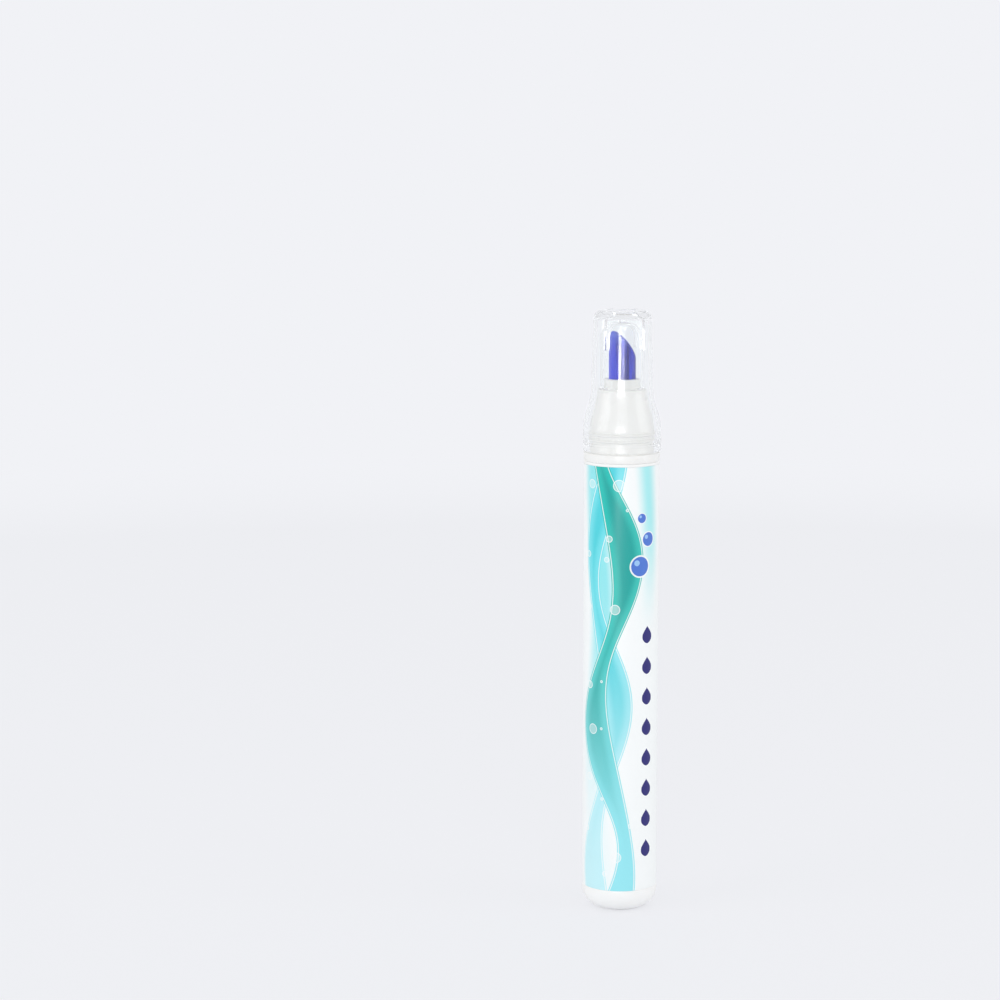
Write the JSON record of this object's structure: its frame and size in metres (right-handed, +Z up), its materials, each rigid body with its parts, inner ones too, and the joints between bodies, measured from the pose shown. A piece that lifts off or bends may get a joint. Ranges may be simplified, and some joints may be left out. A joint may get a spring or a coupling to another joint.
{
  "type": "stain remover pen",
  "caption": "Press-tip stain remover pen: a capped tube of liquid with a sprung valve behind a slanted fibre nib.",
  "frame": {"origin": "centre of the flat foot, on the surface that the pen stands on", "axes": "+Z up the pen towards the nib and the cap's top; -Y the front; +Y the side of the label's seam; -X the side of the nib's point"},
  "size_m": [0.0176, 0.0176, 0.1361],
  "materials": {
    "barrel_plastic": "moulded white polypropylene, satin gloss",
    "label_film": "printed white film, glossy, with teal ribbons",
    "collar_plastic": "moulded white polypropylene, smooth",
    "nib_fibre": "bonded polyester fibre, damp",
    "holder_plastic": "moulded acetal",
    "seal_rubber": "smooth moulded elastomer",
    "valve_plastic": "moulded natural polypropylene",
    "spring_steel": "drawn stainless spring wire",
    "cap_plastic": "clear polypropylene, polished",
    "liner_plastic": "clear polypropylene, slightly milky"
  },
  "bodies": {
    "barrel": {"barrel": "barrel_plastic", "label": "label_film", "collar": "collar_plastic", "valve_seat": "seal_rubber", "valve_cage": "valve_plastic", "valve_spring": "spring_steel"},
    "nib_unit": {"nib": "nib_fibre", "nib_holder": "holder_plastic", "valve_plunger": "valve_plastic", "plunger_seal": "seal_rubber"},
    "cap": {"cap_shell": "cap_plastic", "cap_liner": "liner_plastic"}
  },
  "joints": [
    {"name": "cap_pull", "type": "slide", "parent": "barrel", "child": "cap", "axis": [0, 0, 1], "range_m": [0, 0.045]},
    {"name": "nib_press", "type": "slide", "parent": "barrel", "child": "nib_unit", "axis": [0, 0, -1], "range_m": [0, 0.002], "stiffness_N_per_m": 400, "springref_m": -0.002, "deforming": ["valve_spring"]}
  ]
}
